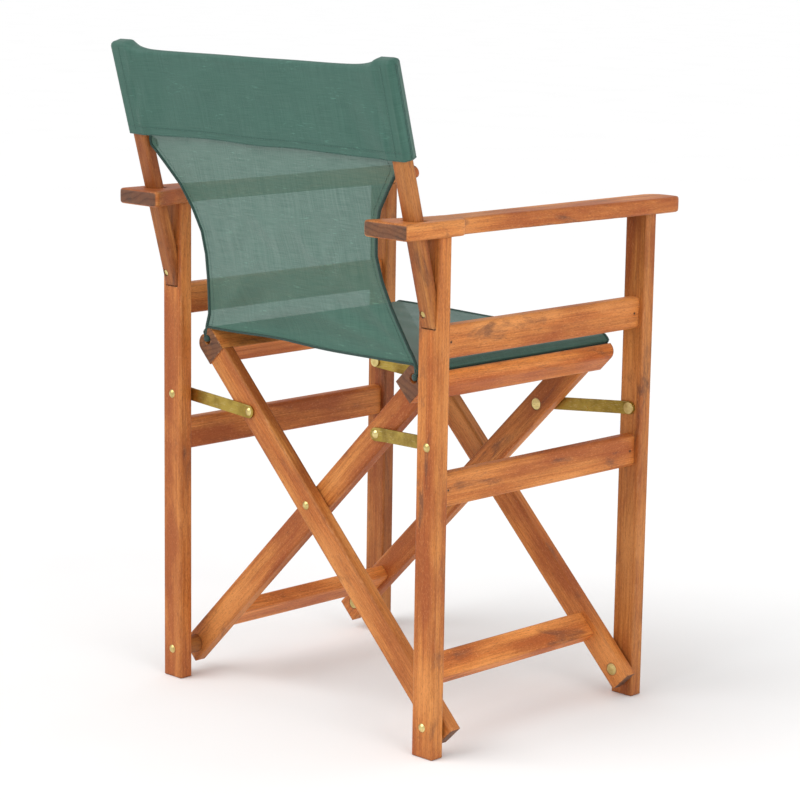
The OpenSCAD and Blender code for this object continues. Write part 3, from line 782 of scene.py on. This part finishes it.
hood = hood_part("back_hood_middle", CUT, LAST - CUT)
hood_right = hood_part("back_hood_right_end", 0, CUT)
hood_left = hood_part("back_hood_left_end", LAST - CUT, LAST)

# ---- hems, stitches and hem tunnels ----

fabric_back = fabric_material("mesh_fabric_back", (48, 90, 77), (78, 117, 102), 0.925)
fabric_hood = fabric_material("mesh_fabric_hood", (44, 86, 74), (70, 111, 98), 0.95)
fabric_seat = fabric_material("mesh_fabric_seat", (42, 80, 69), (72, 110, 98), 0.96)
hem_thread = thread_material("hem_binding", (30, 62, 54))
fold_thread = thread_material("folded_edge", (52, 88, 78))
stitch_thread = thread_material("stitch_thread", (66, 104, 94), 3.2 * MM)

STITCH_STEP, STITCH_SHARE, STITCH_R = 3.2 * MM, 0.62, 0.32 * MM
STITCH_SIDES = 5
# places along a stitch, and its thickness there
STITCH_SHAPE = ((0, 0.25), (0.2, 1), (0.8, 1), (1, 0.25))


def paint(obj, mat):
    obj.data.materials.append(mat)
    return obj


def stitches(path):
    """A row of short thread stitches along path."""
    per = 4
    total = np.linalg.norm(np.diff(path, axis=0), axis=1).sum()
    path = resample(path, max(8, int(total / (STITCH_STEP / per))))
    points, faces = [], []
    for n in range((len(path) - 1) // per):
        a, b = path[n * per], path[n * per + per]
        gap = (b - a) * (1 - STITCH_SHARE) / 2
        a, b = a + gap, b - gap
        t = (b - a) / (np.linalg.norm(b - a) + 1e-12)
        side = np.cross(t, (0.0, 0.0, 1.0))
        if np.linalg.norm(side) < 0.3:
            side = np.cross(t, (1.0, 0.0, 0.0))
        side /= np.linalg.norm(side)
        up = np.cross(side, t)
        base = len(points)
        for q, swell in STITCH_SHAPE:
            for k in range(STITCH_SIDES):
                ang = 2 * math.pi * k / STITCH_SIDES
                ring = math.cos(ang) * side + math.sin(ang) * up
                points.append(a + (b - a) * q + STITCH_R * swell * ring)
        faces += grid_faces(len(STITCH_SHAPE), STITCH_SIDES, close=True, base=base)
        faces.append(tuple(base + k for k in range(STITCH_SIDES))[::-1])
        faces.append(tuple(range(len(points) - STITCH_SIDES, len(points))))
    return make_mesh("row", points, faces)


def join(name, parts):
    """One mesh out of several."""
    points, faces = [], []
    for part in parts:
        base = len(points)
        mesh = part.data
        points.extend(tuple(v.co) for v in mesh.vertices)
        faces.extend(tuple(base + i for i in p.vertices) for p in mesh.polygons)
        bpy.data.objects.remove(part)
        bpy.data.meshes.remove(mesh)
    return make_mesh(name, points, faces)


def hems(name, lines, count, radius, flat):
    """Bound edges along several lines, as one piece."""
    parts = [tube("hem", resample(line, count), radius, flat) for line in lines]
    return paint(join(name, parts), hem_thread)


def hood_trim(name, first, last, seam=None):
    """Folded edges and stitches of the hood's columns first to last, and of a side seam."""
    span = slice(first, last + 1)
    count = max(12, int(1.5 * (last - first)))
    edges = [tube("edge", resample(hood_grid[span, row], count), 0.8 * MM, 0.8) for row in (0, -1)]
    rows = [stitches(hood_grid[span, 3] + back_axis * 0.5 * MM)]
    if seam is not None:
        edges.append(tube("edge", resample(hood_grid[seam], 90), 0.9 * MM, 0.9))
        beside = 5 if seam == 0 else -6
        rows.append(stitches(hood_grid[beside, 1:34] + back_axis * 0.6 * MM))
    return (paint(join(name + "_edges", edges), fold_thread),
            paint(join(name + "_stitches", rows), stitch_thread))


paint(seat, fabric_seat)
paint(panel, fabric_back)
for part in (hood, hood_right, hood_left):
    paint(part, fabric_hood)

panel_hems = hems("back_sheet_hems", (panel_grid[:, 0], panel_grid[:, -1]), 150, 2.2 * MM, 0.85)
panel_stitches = join("back_sheet_stitches", [
    stitches((panel_grid[:, col] + np.array((0, 0.5 * MM, 0)))[:-4]) for col in (2, -3)])
paint(panel_stitches, stitch_thread)
trim = {hood: hood_trim("back_hood_middle", CUT, LAST - CUT),
        hood_right: hood_trim("back_hood_right_end", 0, CUT, 0),
        hood_left: hood_trim("back_hood_left_end", LAST - CUT, LAST, LAST)}
seat_hems = hems("seat_sheet_hems", (seat_grid[0], seat_grid[-1]), 160, 2.1 * MM, 0.75)


def rod_sleeve(name):
    """The hem tunnel round a rod, inside the keyhole, out to the rail's ends."""
    low, high = (np.array(c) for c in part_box(name + "_hem_rod"))
    x, _, z = (low + high) / 2
    radius = (high[2] - low[2]) / 2 + 0.5 * MM
    reach = RAIL_Y + 0.6 * MM
    path = [(x, y, z) for y in np.linspace(-reach, reach, 40)]
    return paint(tube(name + "_rod_sleeve", path, radius, 1.0, 20), hem_thread)


for name, body in (("left", "outer_frame"), ("right", "inner_frame")):
    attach(rod_sleeve(name), body)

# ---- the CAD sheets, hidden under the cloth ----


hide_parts("seat_sling")
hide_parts("back_panel")
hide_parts("back_hood")

# ---- how the cloth moves ----

for piece in (seat, seat_hems):
    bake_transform(piece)

# folded, the left side stands nearer to the right one by this much
hood_middle_w = float(hood_grid[LAST - CUT, 0, 0] - hood_grid[CUT, 0, 0])
for group, width in (((panel, panel_hems, panel_stitches), 2 * STILE_IN),
                     ((hood, *trim[hood]), hood_middle_w)):
    for piece in group:
        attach(piece, "right_side")
        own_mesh(piece)
for end, body in ((hood_right, "right_side"), (hood_left, "left_side")):
    for piece in (end, *trim[end]):
        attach(piece, body)

# ---- studio ----

FLOOR_HALF = 30
WORLD_STRENGTH = 0.74
SUN_ENERGY, SUN_ANGLE, SUN_PLACE = 1.5, math.radians(50), (0.9, 2.0, 2.6)
FILL_ENERGY, FILL_SIZE, FILL_PLACE = 52, 2.4, (-4.0, 0.9, 1.7)
LIT_POINT = Vector((0, 0, 0.45))


def make_floor():
    corners = [(x * FLOOR_HALF, y * FLOOR_HALF, 0) for x, y in ((-1, -1), (1, -1), (1, 1), (-1, 1))]
    floor = make_mesh("floor", corners, [(0, 1, 2, 3)], smooth=False)
    g = Graph("pale_floor")
    speck = g.noise(g.place(), 3.0, 2.0)
    floor.data.materials.append(g.surface({
        "Base Color": g.ramp(speck, (0.3, 0.93), (0.7, 0.95)),
        "Roughness": 0.9,
        "Specular IOR Level": 0.1,
    }))


def make_light():
    world = bpy.data.worlds.new("studio")
    world.use_nodes = True
    background = world.node_tree.nodes["Background"]
    background.inputs["Color"].default_value = (1, 1, 1, 1)
    background.inputs["Strength"].default_value = WORLD_STRENGTH
    bpy.context.scene.world = world
    sun = bpy.data.lights.new("key", "SUN")
    sun.energy = SUN_ENERGY
    sun.angle = SUN_ANGLE
    fill = bpy.data.lights.new("fill", "AREA")
    fill.size = FILL_SIZE
    fill.energy = FILL_ENERGY
    for data, place in ((sun, SUN_PLACE), (fill, FILL_PLACE)):
        lamp = bpy.data.objects.new(data.name, data)
        lamp.location = place
        lamp.rotation_mode = "QUATERNION"
        lamp.rotation_quaternion = (LIT_POINT - Vector(place)).to_track_quat("-Z", "Y")
        bpy.context.scene.collection.objects.link(lamp)


make_floor()
make_light()
